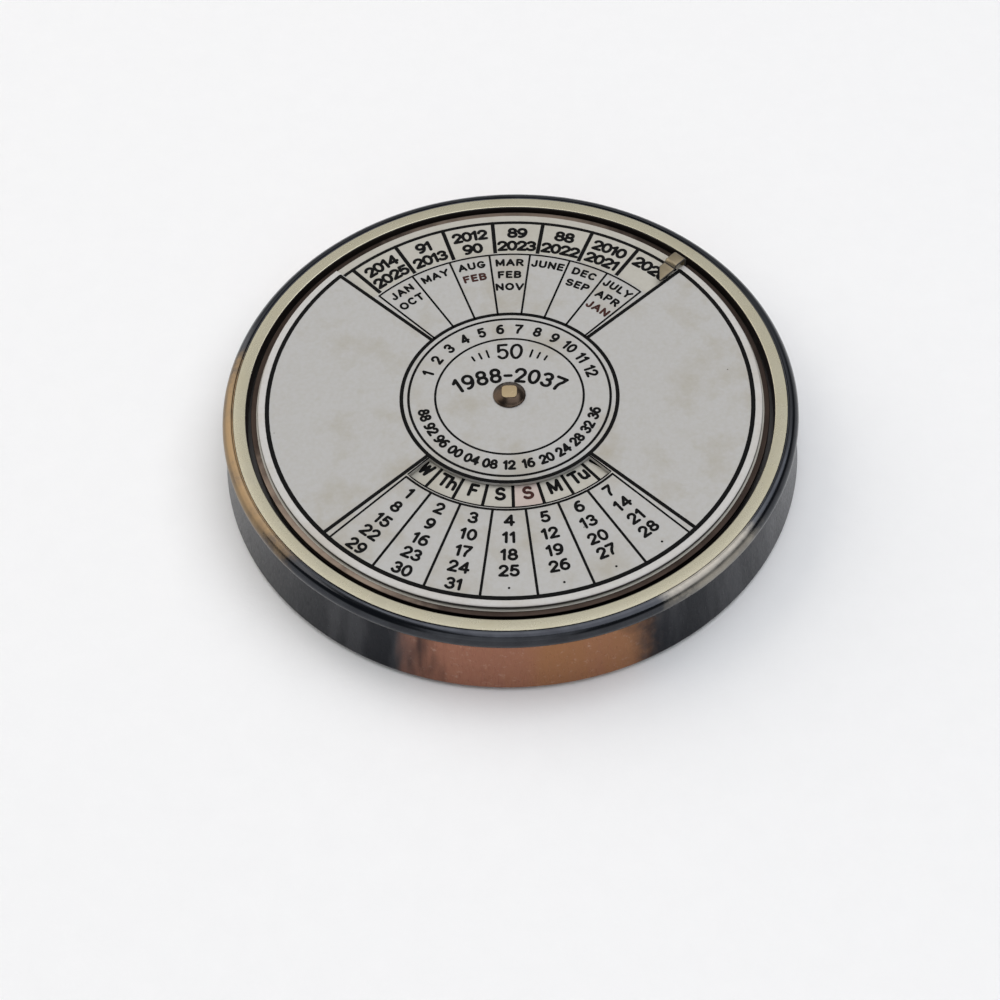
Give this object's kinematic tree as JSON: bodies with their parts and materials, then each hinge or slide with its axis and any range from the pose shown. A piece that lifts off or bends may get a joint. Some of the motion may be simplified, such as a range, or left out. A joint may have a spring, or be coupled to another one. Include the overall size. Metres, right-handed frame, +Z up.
{
  "type": "perpetual desk calendar",
  "caption": "Round weighted desk calendar: a fixed face plate in a brass rim, over a disc of years and weekdays that a small finger tab turns.",
  "frame": {"origin": "centre of the felt's underside, on the surface the calendar stands on", "axes": "+Z up through the dial, +Y towards the notch where the years show, +X to the right as the dial is read"},
  "size_m": [0.0768, 0.0768, 0.0118],
  "materials": {
    "felt": "pressed wool felt",
    "plated_steel": "zinc plated",
    "brushed_brass": "brushed upright and lacquered, reddish",
    "cast_iron": "as cast, edges chamfered",
    "black_lacquer": "black lacquered steel, satin",
    "polished_brass": "turned and polished, pale gold",
    "turned_brass": "turned, slightly tarnished",
    "spring_steel": "blued",
    "nylon": "natural nylon sheet",
    "cream_disc": "cream enamel, printed in black and red",
    "silvered_face": "silver-white lacquer, printed in black and red, faintly stained",
    "tab_brass": "folded sheet, satin"
  },
  "bodies": {
    "case": {"felt_pad": "felt", "base_plate": "plated_steel", "case_wall": "brushed_brass", "weight_slug": "cast_iron", "dial_tray": "black_lacquer", "rim_ring": "polished_brass", "rivet_washer": "plated_steel", "hub_bush": "turned_brass", "disc_spring": "spring_steel", "lower_slip_washer": "nylon", "upper_slip_washer": "nylon", "face_plate": "silvered_face", "centre_rivet": "turned_brass"},
    "disc": {"year_disc": "cream_disc", "finger_tab": "tab_brass", "tab_rivets": "turned_brass"}
  },
  "joints": [
    {"name": "disc_spin", "type": "hinge", "parent": "case", "child": "disc", "pos_m": [0, 0, 0.0097], "axis": [0, 0, 1], "continuous": true}
  ]
}
